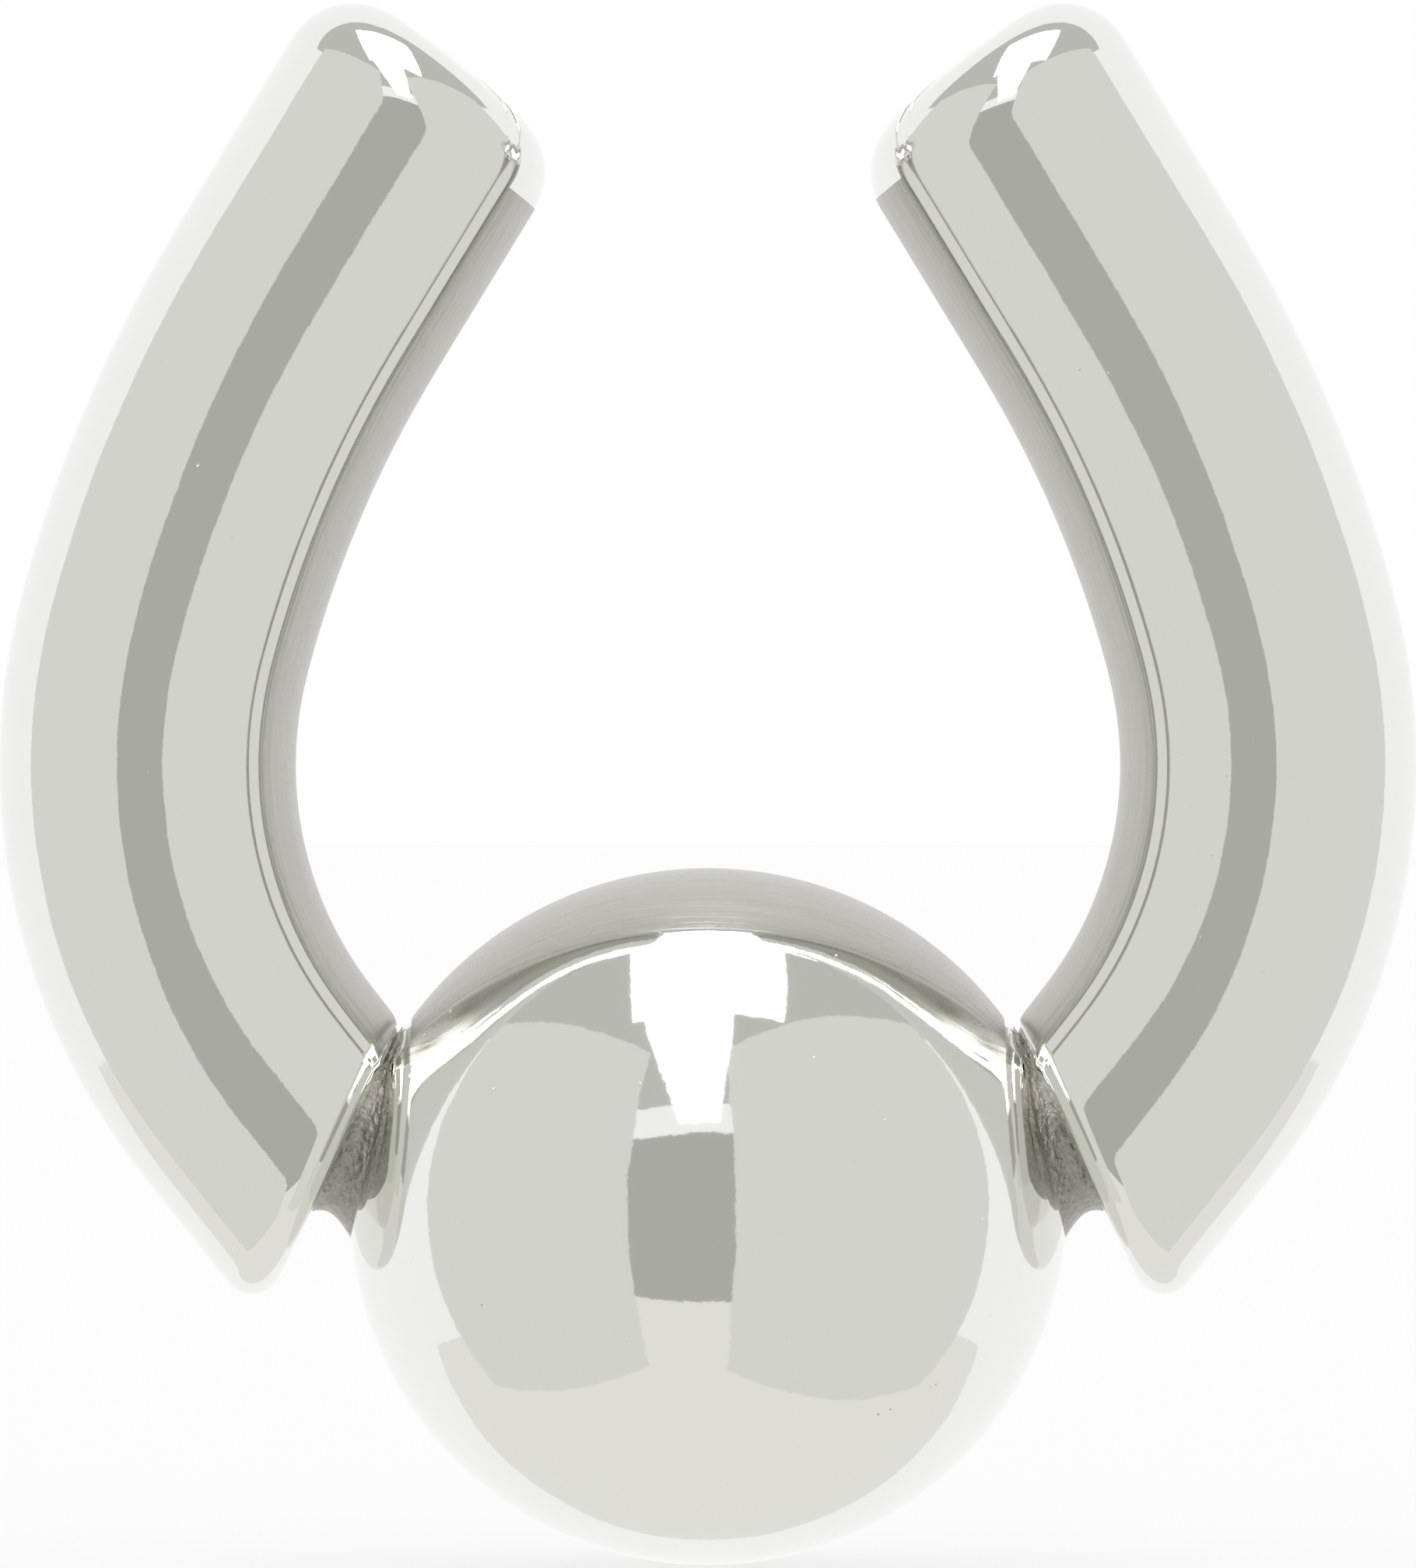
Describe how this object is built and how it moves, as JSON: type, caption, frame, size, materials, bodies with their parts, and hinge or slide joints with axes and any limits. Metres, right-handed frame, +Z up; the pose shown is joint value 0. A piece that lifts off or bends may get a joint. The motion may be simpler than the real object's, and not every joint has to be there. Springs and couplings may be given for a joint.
{
  "type": "ear cuff",
  "caption": "Open ear cuff: a solid ball with a bent round bar rising from each side, leaning in to leave a mouth at the top.",
  "frame": {"origin": "centre of the opening that the ear sits in, midway between the bars at their widest", "axes": "+X across the cuff from the left bar to the right bar, +Y through the cuff from front to back, +Z up from the ball to the mouth"},
  "size_m": [0.0158, 0.008, 0.0174],
  "materials": {
    "ball_plate": "polished",
    "bar_plate": "polished",
    "solder": "satin"
  },
  "bodies": {
    "root": {"ball": "ball_plate", "left_bar": "bar_plate", "right_bar": "bar_plate", "left_solder": "solder", "right_solder": "solder"}
  },
  "joints": []
}
